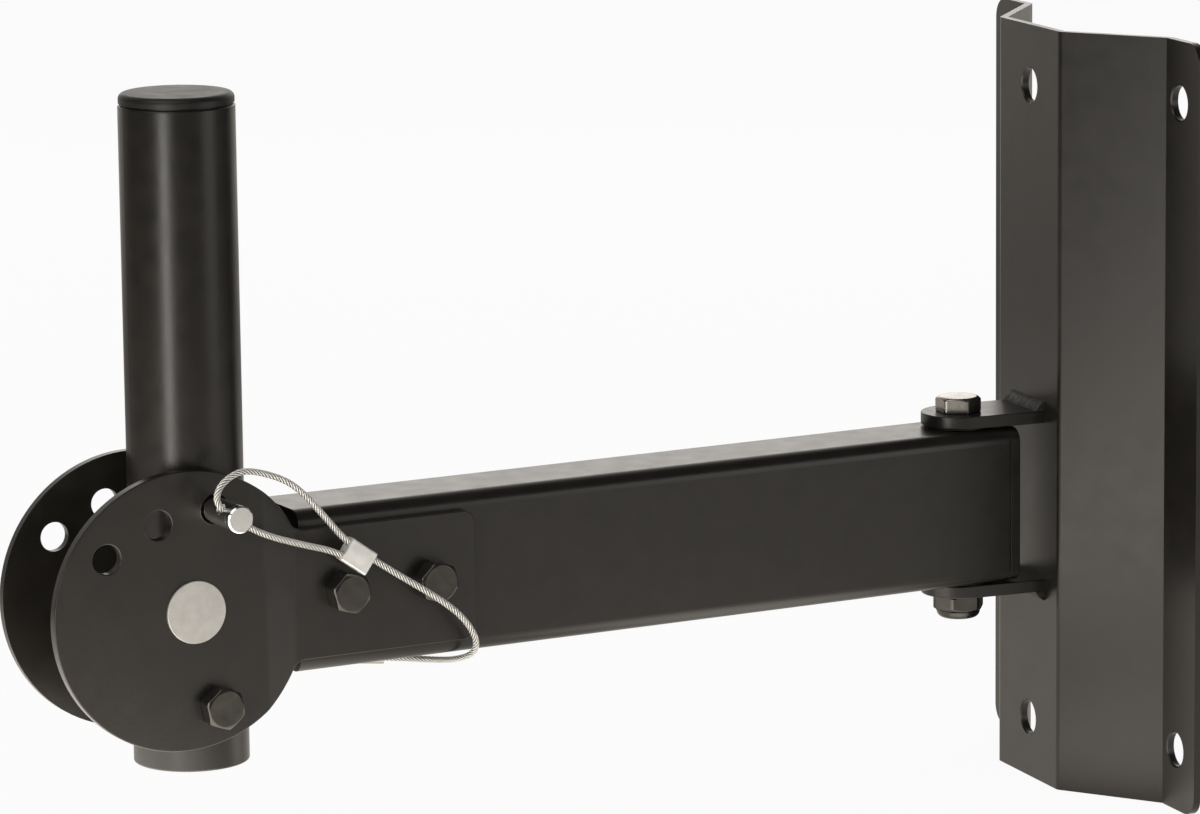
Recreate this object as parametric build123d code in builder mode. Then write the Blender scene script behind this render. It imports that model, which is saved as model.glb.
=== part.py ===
"""Wall bracket for a loudspeaker: hat-section wall plate, swivelling arm and a tilting pole.

Millimetres. The origin is the centre of the wall plate's back, on the wall.
+Y runs into the wall, +Z is up, and +X is to the side the lock pin is on.
"""

from build123d import *
from math import atan2, cos, pi, radians, sin, tan
import os

# Wall plate: a folded hat section, sizes over its outer faces
PLATE_HEIGHT = 246.0
PLATE_WIDTH = 145.5
PLATE_SHEET = 2.5
PANEL_WIDTH = 43.5
PANEL_STANDOFF = 25.5
FOOT_SPAN = 102.0
FLANGE_CORNER_RADIUS = 6.5
FOLD_RADIUS = 3.0
WALL_HOLE_DIAMETER = 11.0
WALL_HOLE_SPACING_X = 119.0
WALL_HOLE_SPACING_Z = 207.0

# Hinge between the plate and the arm, a vertical bolt through two ears
HINGE_STANDOFF = 50.5
EAR_WIDTH = 24.0
EAR_THICKNESS = 4.0
UPPER_EAR_GAP = 0.7
LOWER_EAR_GAP = 0.5
HINGE_BOLT_DIAMETER = 8.0
HINGE_HEAD_FLATS = 13.0
HINGE_HEAD_HEIGHT = 5.0
HINGE_NUT_FLATS = 15.0
HINGE_NUT_HEIGHT = 8.2
HINGE_NUT_TURN = 24.5
NUT_CONE = 30.0
WELD_LEG = 3.0
WELD_BULGE = 0.6
HINGE_SLEEVE_DIAMETER = 12.0

# Arm: a rectangular tube, at rest turned a little about the hinge
ARM_REST_ANGLE = 6.5
ARM_WIDTH = 30.0
ARM_HEIGHT = 50.0
ARM_WALL = 2.5
ARM_CORNER_RADIUS = 4.5
ARM_AXIS_Z = -30.0
ARM_BACK = -12.3
ARM_FRONT = 241.5
ARM_END_THICKNESS = 2.5
ARM_PLUG_LENGTH = 6.0

# Head: two plates, a disc with a tail each, joggled out to pass the pole
HEAD_SHEET = 3.0
HEAD_GAP = 36.0
HEAD_RADIUS = 42.5
HEAD_LEAD = 40.0
TAIL_OVERLAP = 58.0
TAIL_HEIGHT = 40.0
TAIL_CORNER_RADIUS = 4.0
NECK_RADIUS = 5.0
JOGGLE_LEAD = 3.0
JOGGLE_LENGTH = 11.0
JOGGLE_BEND_RADIUS = 6.0
TAIL_BOLT_SETBACKS = (15.0, 44.5)
TAIL_BOLT_DIAMETER = 6.0
TAIL_HEAD_FLATS = 11.6
TAIL_HEAD_HEIGHT = 6.3
TAIL_HEAD_TURN = -15.5
TAIL_NUT_FLATS = 10.0
TAIL_SLEEVE_DIAMETER = 10.0
TAIL_WASHER_DIAMETER = 12.0
TAIL_NUT_HEIGHT = 5.0
TAIL_NUT_TURN = 12.0
TAIL_BOLT_SPARE = 1.5
SIDE_WASHER_HEIGHT = 1.6

# Tilt pivot and the three index holes above it
PIVOT_SETBACK = 10.0
PIVOT_BELOW_AXIS = 30.0
PIVOT_BOLT_DIAMETER = 8.0
PIVOT_HEAD_FLATS = 11.6
PIVOT_HEAD_HEIGHT = 5.3
PIVOT_HEAD_TURN = -20.0
PIVOT_WASHER_DIAMETER = 16.0
PIVOT_NUT_FLATS = 13.0
PIVOT_NUT_HEIGHT = 8.0
PIVOT_NUT_TURN = 8.0
PIVOT_BOLT_SPARE = 1.0
PIVOT_SLEEVE_DIAMETER = 12.0
INDEX_RADIUS = 60.0
INDEX_STEP = 18.0
INDEX_COUNT = 3
INDEX_HOLE_DIAMETER = 9.0

# Pole
POLE_DIAMETER = 35.0
POLE_WALL = 2.0
POLE_BOTTOM_Z = -80.5
POLE_TOP_Z = 119.0
POLE_RIM_RADIUS = 0.6
CAP_FLANGE_DIAMETER = 34.6
CAP_SEAM = 0.6
CAP_FLANGE_THICKNESS = 3.0
CAP_EDGE_RADIUS = 1.8
CAP_PLUG_LENGTH = 14.0

# Lock pin, at rest drawn back so that its tip stands in the near plate
PIN_DIAMETER = 8.0
PIN_TIP_CLEARANCE = 0.5
PIN_REACH = 18.5
PIN_BUTTON_DIAMETER = 8.2
PIN_BUTTON_LENGTH = 2.4
PIN_GROOVE_DIAMETER = 7.2
PIN_GROOVE_WIDTH = 0.5
PIN_EYE_DIAMETER = 2.8
PIN_EYE_SINK_DIAMETER = 4.4
PIN_EYE_FROM_PLATE = 11.0
PIN_EYE_ANGLE = 36.0

# Lanyard: one wire rope, a crimped ferrule and a lug under the arm
ROPE_DIAMETER = 2.0
FERRULE_LENGTH = 9.6
FERRULE_WIDTH = 7.6
FERRULE_DEPTH = 4.2
FERRULE_EDGE = 0.7
FERRULE_AT = (-44.3, 25.3, -18.2)
FERRULE_ANGLE = 35.5
STRAND_OFFSET = 1.8
STRAND_LEAD = 0.6
ROPE_END_IN_FERRULE = 1.0
EYE_LEAD = 5.7
BEND_SHARE = 0.45
LUG_BARREL_DIAMETER = 3.8
LUG_BARREL_LENGTH = 7.0
LUG_TAB_THICKNESS = 0.8
LUG_TAB_DIAMETER = 7.6
LUG_TAB_AT = (-56.3, -6.9)

# The rope's free points: ahead of the pivot along the arm, to the pin's side, and above
# the arm's underside for those from the lug, or above the pin's axis for the others
ROPE_FROM_LUG = [
    (-60.0, -5.6, -2.4),
    (-67.0, -3.2, -2.8),
    (-74.0, 0.2, -3.2),
    (-80.1, 5.8, -3.3),
    (-83.7, 11.7, -2.5),
    (-85.9, 20.0, 0.7),
    (-85.2, 24.0, 6.1),
    (-79.9, 25.6, 13.7),
    (-71.9, 26.1, 20.4),
    (-55.0, 25.5, 31.4),
]
ROPE_OVER_PIN = [
    (-33.0, 27.2, -4.7),
    (-24.5, 28.9, 4.6),
    (-17.5, 29.7, 9.3),
    (-6.3, 31.0, 13.0),
    (-0.8, 31.6, 12.0),
    (3.8, 31.8, 8.6),
]
ROPE_BACK = [
    (-11.8, 30.0, -7.5),
    (-24.2, 27.7, -12.0),
]

# Blank round plate on the near disc
BADGE_SETBACK = 3.0
BADGE_BELOW_AXIS = 0.4
BADGE_DIAMETER = 19.0
BADGE_THICKNESS = 0.8

# Clearances
RUNNING_CLEARANCE = 0.06
BOLT_CLEARANCE = 0.2
WASHER_HEIGHT = 0.5
WASHER_SETBACK = 1.0
POLE_SIDE_CLEARANCE = 0.3
CAP_PLUG_CLEARANCE = 0.1
THREAD_SINK = 0.6
EDGE_BREAK = 0.4
HEXAGON_SIDES = 6
FACING_SHARE = 0.99
HEX_CHAMFER = 0.7
HEAD_CONE = 60.0

BIG = 400.0

os.makedirs("parts", exist_ok=True)


def finish(part, name):
    """Labels a finished piece and writes its file."""
    part.label = name
    export_step(part, "parts/" + name + ".step")


# The arm's own frame: x outward along the arm, y to the pin's side, z up
rest = radians(ARM_REST_ANGLE)
along = Vector(sin(rest), -cos(rest), 0)
across = Vector(cos(rest), sin(rest), 0)
hinge_point = Vector(0, -HINGE_STANDOFF, 0)
up = Vector(0, 0, 1)


def arm_point(x, y, z):
    """A point of the arm's frame in the frame of the whole part."""
    return hinge_point + along * x + across * y + up * z


def side_plane(y, facing=1):
    """The plane parallel to the arm's side at y, with x along the arm; facing 1 extrudes towards +y."""
    if facing > 0:
        return Plane(origin=arm_point(0, y, 0), x_dir=along * -1, z_dir=across)
    return Plane(origin=arm_point(0, y, 0), x_dir=along, z_dir=across * -1)


def section_plane(x):
    """The plane across the arm at x, with its x to the pin's side and its y up."""
    return Plane(origin=arm_point(x, 0, ARM_AXIS_Z), x_dir=across, z_dir=along)


def level_plane(z):
    """The level plane at z, with its x along the arm and its y to the pin's side."""
    return Plane(origin=arm_point(0, 0, z), x_dir=along, z_dir=up)


def corners_at(sketch, places):
    """The sketch's own corners that stand at the given places."""
    return sketch.vertices().filter_by(
        lambda v: any(abs(v.X - x) + abs(v.Y - y) < EDGE_BREAK / 4 for x, y in places)
    )


# Wall plate: the front outline of the section and the same line one sheet further back
half_panel = PANEL_WIDTH / 2
half_foot = FOOT_SPAN / 2
half_plate = PLATE_WIDTH / 2
flank_angle = atan2(PANEL_STANDOFF - PLATE_SHEET, half_foot - half_panel)
fold_shift = PLATE_SHEET * tan(flank_angle / 2)
front_line = [
    (-half_plate, -PLATE_SHEET),
    (-half_foot, -PLATE_SHEET),
    (-half_panel, -PANEL_STANDOFF),
    (half_panel, -PANEL_STANDOFF),
    (half_foot, -PLATE_SHEET),
    (half_plate, -PLATE_SHEET),
]
back_line = [
    (half_plate, 0),
    (half_foot - fold_shift, 0),
    (half_panel - fold_shift, PLATE_SHEET - PANEL_STANDOFF),
    (fold_shift - half_panel, PLATE_SHEET - PANEL_STANDOFF),
    (fold_shift - half_foot, 0),
    (-half_plate, 0),
]
wall_hole_radius = WALL_HOLE_DIAMETER / 2

with BuildPart() as wall_plate:
    with BuildSketch(Plane.XY.offset(-PLATE_HEIGHT / 2)) as hat:
        with BuildLine():
            Polyline(*front_line, *back_line, close=True)
        make_face()
        outer_folds = front_line[2:4] + back_line[1:2] + back_line[4:5]
        inner_folds = back_line[2:4] + front_line[1:2] + front_line[4:5]
        fillet(corners_at(hat, outer_folds), FOLD_RADIUS)
        fillet(corners_at(hat, inner_folds), FOLD_RADIUS - PLATE_SHEET)
    extrude(amount=PLATE_HEIGHT)
    flange_corners = wall_plate.edges().filter_by(Axis.Y).filter_by(
        lambda e: abs(e.center().X) > half_plate - EDGE_BREAK
    )
    fillet(flange_corners, FLANGE_CORNER_RADIUS)
    with BuildSketch(Plane.XZ):
        with GridLocations(WALL_HOLE_SPACING_X / 2, WALL_HOLE_SPACING_Z, 3, 2):
            Circle(wall_hole_radius)
    extrude(amount=BIG, mode=Mode.SUBTRACT)
    front_faces = wall_plate.faces().filter_by(lambda f: f.normal_at().Y < -FACING_SHARE)
    hole_rims = front_faces.edges().filter_by(GeomType.CIRCLE).filter_by(
        lambda e: abs(e.radius - wall_hole_radius) < EDGE_BREAK
    )
    chamfer(hole_rims, EDGE_BREAK)
finish(wall_plate.part, "wall_plate")

# Ears: stadium ends round the hinge bolt, roots against the panel
arm_top = ARM_AXIS_Z + ARM_HEIGHT / 2
arm_bottom = ARM_AXIS_Z - ARM_HEIGHT / 2
upper_ear_inner = arm_top + UPPER_EAR_GAP
lower_ear_inner = arm_bottom - LOWER_EAR_GAP
upper_ear_top = upper_ear_inner + EAR_THICKNESS
lower_ear_bottom = lower_ear_inner - EAR_THICKNESS
hinge_hole_radius = HINGE_BOLT_DIAMETER / 2 + BOLT_CLEARANCE
ear_reach = HINGE_STANDOFF - PANEL_STANDOFF

with BuildPart() as hinge_ear_upper:
    with BuildSketch(Plane.XY.offset(upper_ear_inner)):
        with Locations((0, -HINGE_STANDOFF)):
            Circle(EAR_WIDTH / 2)
        with Locations((0, -HINGE_STANDOFF + ear_reach / 2)):
            Rectangle(EAR_WIDTH, ear_reach)
        with Locations((0, -HINGE_STANDOFF)):
            Circle(hinge_hole_radius, mode=Mode.SUBTRACT)
    extrude(amount=EAR_THICKNESS)
    ear_rims = hinge_ear_upper.faces().filter_by(Axis.Z).edges().filter_by(
        lambda e: e.center().Y < -PANEL_STANDOFF - EDGE_BREAK
    )
    fillet(ear_rims, EDGE_BREAK)
finish(hinge_ear_upper.part, "hinge_ear_upper")

with BuildPart() as hinge_ear_lower:
    with BuildSketch(Plane.XY.offset(lower_ear_bottom)):
        with Locations((0, -HINGE_STANDOFF)):
            Circle(EAR_WIDTH / 2)
        with Locations((0, -HINGE_STANDOFF + ear_reach / 2)):
            Rectangle(EAR_WIDTH, ear_reach)
        with Locations((0, -HINGE_STANDOFF)):
            Circle(hinge_hole_radius, mode=Mode.SUBTRACT)
    extrude(amount=EAR_THICKNESS)
    ear_rims = hinge_ear_lower.faces().filter_by(Axis.Z).edges().filter_by(
        lambda e: e.center().Y < -PANEL_STANDOFF - EDGE_BREAK
    )
    fillet(ear_rims, EDGE_BREAK)
finish(hinge_ear_lower.part, "hinge_ear_lower")

# Weld beads along the ears' roots, above the upper ear and below the lower one
with BuildPart() as weld_upper:
    with BuildSketch(Plane.YZ.offset(-EAR_WIDTH / 2)):
        with BuildLine():
            root = (-PANEL_STANDOFF, upper_ear_top)
            Line(root, (-PANEL_STANDOFF, upper_ear_top + WELD_LEG))
            ThreePointArc(
                (-PANEL_STANDOFF, upper_ear_top + WELD_LEG),
                (-PANEL_STANDOFF - WELD_LEG * WELD_BULGE, upper_ear_top + WELD_LEG * WELD_BULGE),
                (-PANEL_STANDOFF - WELD_LEG, upper_ear_top),
            )
            Line((-PANEL_STANDOFF - WELD_LEG, upper_ear_top), root)
        make_face()
    extrude(amount=EAR_WIDTH)
finish(weld_upper.part, "weld_upper")

with BuildPart() as weld_lower:
    with BuildSketch(Plane.YZ.offset(-EAR_WIDTH / 2)):
        with BuildLine():
            root = (-PANEL_STANDOFF, lower_ear_bottom)
            Line(root, (-PANEL_STANDOFF, lower_ear_bottom - WELD_LEG))
            ThreePointArc(
                (-PANEL_STANDOFF, lower_ear_bottom - WELD_LEG),
                (-PANEL_STANDOFF - WELD_LEG * WELD_BULGE, lower_ear_bottom - WELD_LEG * WELD_BULGE),
                (-PANEL_STANDOFF - WELD_LEG, lower_ear_bottom),
            )
            Line((-PANEL_STANDOFF - WELD_LEG, lower_ear_bottom), root)
        make_face()
    extrude(amount=EAR_WIDTH)
finish(weld_lower.part, "weld_lower")

# Hinge bolt: head on the upper ear, shank down into the lock nut under the lower one
nut_bottom = lower_ear_bottom - HINGE_NUT_HEIGHT
hinge_shank_bottom = nut_bottom + THREAD_SINK
hinge_axis_at = (0, -HINGE_STANDOFF)

with BuildPart() as hinge_bolt:
    with BuildSketch(Plane.XY.offset(upper_ear_top)):
        with Locations(hinge_axis_at):
            RegularPolygon(HINGE_HEAD_FLATS / 2, HEXAGON_SIDES, major_radius=False)
    extrude(amount=HINGE_HEAD_HEIGHT)
    with BuildSketch(Plane.XY.offset(upper_ear_top + HINGE_HEAD_HEIGHT)):
        with Locations(hinge_axis_at):
            Circle(HINGE_HEAD_FLATS / 2 + HEX_CHAMFER)
    extrude(amount=-HINGE_HEAD_HEIGHT, taper=-HEAD_CONE, mode=Mode.INTERSECT)
    with BuildSketch(Plane.XY.offset(upper_ear_top)):
        with Locations(hinge_axis_at):
            Circle(HINGE_BOLT_DIAMETER / 2)
    extrude(amount=hinge_shank_bottom - upper_ear_top)
finish(hinge_bolt.part, "hinge_bolt")

with BuildPart() as hinge_nut:
    with BuildSketch(Plane.XY.offset(lower_ear_bottom)):
        with Locations(hinge_axis_at):
            RegularPolygon(HINGE_NUT_FLATS / 2, HEXAGON_SIDES, major_radius=False, rotation=HINGE_NUT_TURN)
    extrude(amount=-HINGE_NUT_HEIGHT)
    with BuildSketch(Plane.XY.offset(nut_bottom)):
        with Locations(hinge_axis_at):
            Circle(HINGE_NUT_FLATS / 2)
    extrude(amount=HINGE_NUT_HEIGHT, taper=-NUT_CONE, mode=Mode.INTERSECT)
    with BuildSketch(Plane.XY.offset(lower_ear_bottom)):
        with Locations(hinge_axis_at):
            Circle(HINGE_BOLT_DIAMETER / 2)
    extrude(amount=-HINGE_NUT_HEIGHT, mode=Mode.SUBTRACT)
finish(hinge_nut.part, "hinge_nut")

# Thin plastic washers, one clear of the arm above it and one that the arm stands on

with BuildPart() as hinge_washer_upper:
    with BuildSketch(Plane.XY.offset(upper_ear_inner)):
        with Locations(hinge_axis_at):
            Circle(EAR_WIDTH / 2 - WASHER_SETBACK)
            Circle(hinge_hole_radius, mode=Mode.SUBTRACT)
    extrude(amount=-WASHER_HEIGHT)
finish(hinge_washer_upper.part, "hinge_washer_upper")

with BuildPart() as hinge_washer_lower:
    with BuildSketch(Plane.XY.offset(lower_ear_inner)):
        with Locations(hinge_axis_at):
            Circle(EAR_WIDTH / 2 - WASHER_SETBACK)
            Circle(hinge_hole_radius, mode=Mode.SUBTRACT)
    extrude(amount=WASHER_HEIGHT - RUNNING_CLEARANCE)
finish(hinge_washer_lower.part, "hinge_washer_lower")

# Arm tube, with the bores for the hinge sleeve and the tail bolts
hinge_sleeve_radius = HINGE_SLEEVE_DIAMETER / 2
tail_hole_radius = TAIL_BOLT_DIAMETER / 2 + BOLT_CLEARANCE
tube_start = ARM_BACK + ARM_END_THICKNESS
tube_length = ARM_FRONT - tube_start
head_centre_l = ARM_FRONT + HEAD_LEAD
pivot_l = head_centre_l - PIVOT_SETBACK
tail_end = ARM_FRONT - TAIL_OVERLAP
tail_bolt_ls = [tail_end + setback for setback in TAIL_BOLT_SETBACKS]
joggle_start = ARM_FRONT + JOGGLE_LEAD
joggle_end = joggle_start + JOGGLE_LENGTH
inner_width = ARM_WIDTH - 2 * ARM_WALL
inner_height = ARM_HEIGHT - 2 * ARM_WALL

with BuildPart() as arm_tube:
    with BuildSketch(section_plane(tube_start)):
        RectangleRounded(ARM_WIDTH, ARM_HEIGHT, ARM_CORNER_RADIUS)
        RectangleRounded(
            inner_width,
            inner_height,
            ARM_CORNER_RADIUS - ARM_WALL,
            mode=Mode.SUBTRACT,
        )
    extrude(amount=tube_length)
    with BuildSketch(level_plane(arm_bottom)):
        Circle(hinge_sleeve_radius)
    extrude(amount=ARM_HEIGHT, mode=Mode.SUBTRACT)
    with BuildSketch(side_plane(-ARM_WIDTH / 2)):
        with Locations(*[(-bolt_l, ARM_AXIS_Z) for bolt_l in tail_bolt_ls]):
            Circle(tail_hole_radius)
    extrude(amount=ARM_WIDTH, mode=Mode.SUBTRACT)
finish(arm_tube.part, "arm_tube")

with BuildPart() as arm_end_plate:
    with BuildSketch(section_plane(tube_start)):
        RectangleRounded(ARM_WIDTH, ARM_HEIGHT, ARM_CORNER_RADIUS)
    extrude(amount=-ARM_END_THICKNESS)
    end_rim = arm_end_plate.faces().sort_by_distance(arm_point(ARM_BACK, 0, ARM_AXIS_Z))[0].edges()
    fillet(end_rim, ARM_END_THICKNESS - EDGE_BREAK)
finish(arm_end_plate.part, "arm_end_plate")

with BuildPart() as arm_tip_plug:
    with BuildSketch(section_plane(ARM_FRONT)):
        RectangleRounded(inner_width, inner_height, ARM_CORNER_RADIUS - ARM_WALL)
    extrude(amount=-ARM_PLUG_LENGTH)
finish(arm_tip_plug.part, "arm_tip_plug")

with BuildPart() as hinge_sleeve:
    with BuildSketch(level_plane(arm_bottom)):
        Circle(hinge_sleeve_radius)
        Circle(HINGE_BOLT_DIAMETER / 2 + RUNNING_CLEARANCE, mode=Mode.SUBTRACT)
    extrude(amount=ARM_HEIGHT)
finish(hinge_sleeve.part, "hinge_sleeve")

with BuildPart() as tail_sleeves:
    with BuildSketch(side_plane(-inner_width / 2)):
        with Locations(*[(-bolt_l, ARM_AXIS_Z) for bolt_l in tail_bolt_ls]):
            Circle(TAIL_SLEEVE_DIAMETER / 2)
            Circle(tail_hole_radius, mode=Mode.SUBTRACT)
    extrude(amount=inner_width)
finish(tail_sleeves.part, "tail_sleeves")

# Head plates: a joggled strip in plan, cut to the outline of the disc and its tail
tail_face = ARM_WIDTH / 2
head_face = HEAD_GAP / 2
pivot_z = ARM_AXIS_Z - PIVOT_BELOW_AXIS
tip_l = head_centre_l + HEAD_RADIUS + BOLT_CLEARANCE
head_outer = head_face + HEAD_SHEET
tail_outer = tail_face + HEAD_SHEET
index_places = [
    (
        pivot_l + INDEX_RADIUS * sin(radians(INDEX_STEP * step)),
        pivot_z + INDEX_RADIUS * cos(radians(INDEX_STEP * step)),
    )
    for step in range(INDEX_COUNT)
]
bolt_places = [(bolt_l, ARM_AXIS_Z) for bolt_l in tail_bolt_ls]
strip = [
    (tail_end, tail_face),
    (joggle_start, tail_face),
    (joggle_end, head_face),
    (tip_l, head_face),
    (tip_l, head_outer),
    (joggle_end, head_outer),
    (joggle_start, tail_outer),
    (tail_end, tail_outer),
]

joggle_corners = strip[1:3] + strip[5:7]
neck_low_z = ARM_AXIS_Z - TAIL_HEIGHT / 2
neck_high_z = ARM_AXIS_Z + TAIL_HEIGHT / 2
neck_l = head_centre_l - (HEAD_RADIUS**2 - (TAIL_HEIGHT / 2) ** 2) ** 0.5
pivot_hole_radius = PIVOT_BOLT_DIAMETER / 2 + BOLT_CLEARANCE
tail_length = head_centre_l - tail_end

with BuildPart() as head_plate_near:
    with BuildSketch(level_plane(ARM_AXIS_Z - HEAD_RADIUS)) as near_strip:
        with BuildLine():
            Polyline(*strip, close=True)
        make_face()
        fillet(corners_at(near_strip, joggle_corners), JOGGLE_BEND_RADIUS)
    extrude(amount=2 * HEAD_RADIUS)
    with BuildSketch(side_plane(head_outer, facing=-1)) as near_outline:
        with Locations((head_centre_l, ARM_AXIS_Z)):
            Circle(HEAD_RADIUS)
        with Locations((tail_end + tail_length / 2, ARM_AXIS_Z)):
            Rectangle(tail_length, TAIL_HEIGHT)
        fillet(
            corners_at(near_outline, [(tail_end, neck_low_z), (tail_end, neck_high_z)]),
            TAIL_CORNER_RADIUS,
        )
        fillet(
            corners_at(near_outline, [(neck_l, neck_low_z), (neck_l, neck_high_z)]),
            NECK_RADIUS,
        )
        with Locations(*index_places):
            Circle(INDEX_HOLE_DIAMETER / 2, mode=Mode.SUBTRACT)
        with Locations(*bolt_places):
            Circle(tail_hole_radius, mode=Mode.SUBTRACT)
        with Locations((pivot_l, pivot_z)):
            Circle(pivot_hole_radius, mode=Mode.SUBTRACT)
    extrude(amount=HEAD_SHEET * 2 + tail_face, mode=Mode.INTERSECT)
    disc_face = head_plate_near.faces().filter_by(GeomType.PLANE).sort_by_distance(
        arm_point(head_centre_l, head_outer, ARM_AXIS_Z)
    )[0]
    rims = disc_face.edges().filter_by(GeomType.CIRCLE)
    fillet(rims, EDGE_BREAK)
finish(head_plate_near.part, "head_plate_near")

with BuildPart() as head_plate_far:
    mirror(head_plate_near.part, about=Plane(origin=hinge_point, z_dir=across))
finish(head_plate_far.part, "head_plate_far")

# Tail bolts from the near side, with washers and nuts on the far side
tail_nut_face = -tail_outer - SIDE_WASHER_HEIGHT
tail_bolt_end = tail_nut_face - TAIL_NUT_HEIGHT - TAIL_BOLT_SPARE
near_bolt_places = [(-bolt_l, ARM_AXIS_Z) for bolt_l in tail_bolt_ls]

with BuildPart() as tail_bolts:
    with BuildSketch(side_plane(tail_outer)):
        with Locations(*near_bolt_places):
            RegularPolygon(TAIL_HEAD_FLATS / 2, HEXAGON_SIDES, major_radius=False, rotation=TAIL_HEAD_TURN)
    extrude(amount=TAIL_HEAD_HEIGHT)
    with BuildSketch(side_plane(tail_outer + TAIL_HEAD_HEIGHT)):
        with Locations(*near_bolt_places):
            Circle(TAIL_HEAD_FLATS / 2 + HEX_CHAMFER / 2)
    extrude(amount=-TAIL_HEAD_HEIGHT, taper=-HEAD_CONE, mode=Mode.INTERSECT)
    with BuildSketch(side_plane(tail_outer)):
        with Locations(*near_bolt_places):
            Circle(TAIL_BOLT_DIAMETER / 2)
    extrude(amount=tail_bolt_end - tail_outer)
finish(tail_bolts.part, "tail_bolts")

with BuildPart() as tail_washers:
    with BuildSketch(side_plane(-tail_outer)):
        with Locations(*near_bolt_places):
            Circle(TAIL_WASHER_DIAMETER / 2)
            Circle(tail_hole_radius, mode=Mode.SUBTRACT)
    extrude(amount=-SIDE_WASHER_HEIGHT)
finish(tail_washers.part, "tail_washers")

with BuildPart() as tail_nuts:
    with BuildSketch(side_plane(tail_nut_face)):
        with Locations(*near_bolt_places):
            RegularPolygon(TAIL_NUT_FLATS / 2, HEXAGON_SIDES, major_radius=False, rotation=TAIL_NUT_TURN)
            Circle(TAIL_BOLT_DIAMETER / 2, mode=Mode.SUBTRACT)
    extrude(amount=-TAIL_NUT_HEIGHT)
finish(tail_nuts.part, "tail_nuts")

# Pivot bolt through both discs, the pole's sleeve turning on it
pivot_nut_face = -head_outer - SIDE_WASHER_HEIGHT
pivot_bolt_end = pivot_nut_face - PIVOT_NUT_HEIGHT - PIVOT_BOLT_SPARE
pivot_place = (-pivot_l, pivot_z)

with BuildPart() as pivot_bolt:
    with BuildSketch(side_plane(head_outer)):
        with Locations(pivot_place):
            RegularPolygon(PIVOT_HEAD_FLATS / 2, HEXAGON_SIDES, major_radius=False, rotation=PIVOT_HEAD_TURN)
    extrude(amount=PIVOT_HEAD_HEIGHT)
    with BuildSketch(side_plane(head_outer + PIVOT_HEAD_HEIGHT)):
        with Locations(pivot_place):
            Circle(PIVOT_HEAD_FLATS / 2 + HEX_CHAMFER / 2)
    extrude(amount=-PIVOT_HEAD_HEIGHT, taper=-HEAD_CONE, mode=Mode.INTERSECT)
    with BuildSketch(side_plane(head_outer)):
        with Locations(pivot_place):
            Circle(PIVOT_BOLT_DIAMETER / 2)
    extrude(amount=pivot_bolt_end - head_outer)
finish(pivot_bolt.part, "pivot_bolt")

with BuildPart() as pivot_washer:
    with BuildSketch(side_plane(-head_outer)):
        with Locations(pivot_place):
            Circle(PIVOT_WASHER_DIAMETER / 2)
            Circle(pivot_hole_radius, mode=Mode.SUBTRACT)
    extrude(amount=-SIDE_WASHER_HEIGHT)
finish(pivot_washer.part, "pivot_washer")

with BuildPart() as pivot_nut:
    with BuildSketch(side_plane(pivot_nut_face)):
        with Locations(pivot_place):
            RegularPolygon(PIVOT_NUT_FLATS / 2, HEXAGON_SIDES, major_radius=False, rotation=PIVOT_NUT_TURN)
            Circle(PIVOT_BOLT_DIAMETER / 2, mode=Mode.SUBTRACT)
    extrude(amount=-PIVOT_NUT_HEIGHT)
finish(pivot_nut.part, "pivot_nut")

# Pole: a round tube on the pivot sleeve, drilled through for the lock pin
pole_radius = POLE_DIAMETER / 2
pole_bore = pole_radius - POLE_WALL
pin_z = pivot_z + INDEX_RADIUS
sleeve_half = head_face - POLE_SIDE_CLEARANCE
pivot_sleeve_radius = PIVOT_SLEEVE_DIAMETER / 2

with BuildPart() as pole_tube:
    with BuildSketch(level_plane(POLE_BOTTOM_Z)):
        with Locations((pivot_l, 0)):
            Circle(pole_radius)
            Circle(pole_bore, mode=Mode.SUBTRACT)
    extrude(amount=POLE_TOP_Z - POLE_BOTTOM_Z)
    end_faces = pole_tube.faces().filter_by(Axis.Z)
    fillet(
        end_faces.edges().filter_by(lambda e: e.radius > pole_radius - EDGE_BREAK),
        POLE_RIM_RADIUS,
    )
    with BuildSketch(side_plane(-pole_radius)):
        with Locations((-pivot_l, pin_z)):
            Circle(INDEX_HOLE_DIAMETER / 2)
        with Locations(pivot_place):
            Circle(pivot_sleeve_radius)
    extrude(amount=POLE_DIAMETER, mode=Mode.SUBTRACT)
finish(pole_tube.part, "pole_tube")

with BuildPart() as pivot_sleeve:
    with BuildSketch(side_plane(-sleeve_half)):
        with Locations(pivot_place):
            Circle(pivot_sleeve_radius)
            Circle(PIVOT_BOLT_DIAMETER / 2 + RUNNING_CLEARANCE, mode=Mode.SUBTRACT)
    extrude(amount=2 * sleeve_half)
finish(pivot_sleeve.part, "pivot_sleeve")

cap_seat = POLE_TOP_Z + CAP_SEAM
with BuildPart() as pole_cap:
    with BuildSketch(level_plane(cap_seat)):
        with Locations((pivot_l, 0)):
            Circle(CAP_FLANGE_DIAMETER / 2)
    extrude(amount=CAP_FLANGE_THICKNESS)
    fillet(pole_cap.faces().sort_by(Axis.Z)[-1].edges(), CAP_EDGE_RADIUS)
    with BuildSketch(level_plane(POLE_TOP_Z - CAP_PLUG_LENGTH)):
        with Locations((pivot_l, 0)):
            Circle(pole_bore - CAP_PLUG_CLEARANCE)
    extrude(amount=CAP_PLUG_LENGTH + CAP_SEAM)
    with BuildSketch(level_plane(POLE_TOP_Z)):
        with Locations((pivot_l, 0)):
            Circle(pole_radius - POLE_WALL / 2)
    extrude(amount=CAP_SEAM)
finish(pole_cap.part, "pole_cap")

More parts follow.
